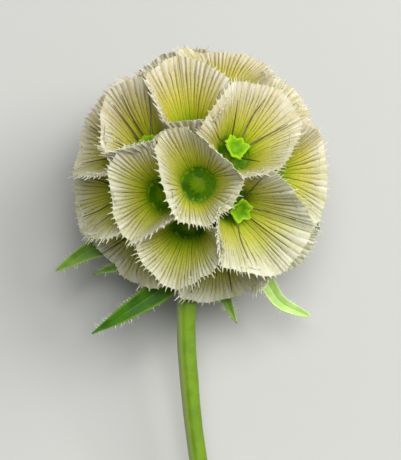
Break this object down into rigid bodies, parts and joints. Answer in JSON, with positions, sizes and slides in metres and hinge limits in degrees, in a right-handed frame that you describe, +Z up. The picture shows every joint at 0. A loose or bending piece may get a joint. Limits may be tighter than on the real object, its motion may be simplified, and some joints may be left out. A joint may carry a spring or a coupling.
{
  "type": "scabiosa flower seed head",
  "caption": "Cut scabiosa at its seed-head stage: a round head of pleated papery cups with dark awns, green bracts and a short green stem, lying on its side.",
  "frame": {"origin": "bottom centre of the flower's box, on the surface it lies on", "axes": "+Y along the flower from the cut end of the stem to the head, +Z up from the surface, +X across it"},
  "size_m": [0.0429, 0.102, 0.0386],
  "materials": {
    "papery_cups": "pleated papery membrane, cream at the rims and yellow-green inside, matt and translucent",
    "green_bracts": "fresh green leaf with short pale hairs, matt",
    "green_stem": "fresh pale green stem with fine ribs and sparse hairs, satin"
  },
  "bodies": {
    "root": {"seed_head": "papery_cups", "involucre": "green_bracts", "stem": "green_stem"}
  },
  "joints": []
}
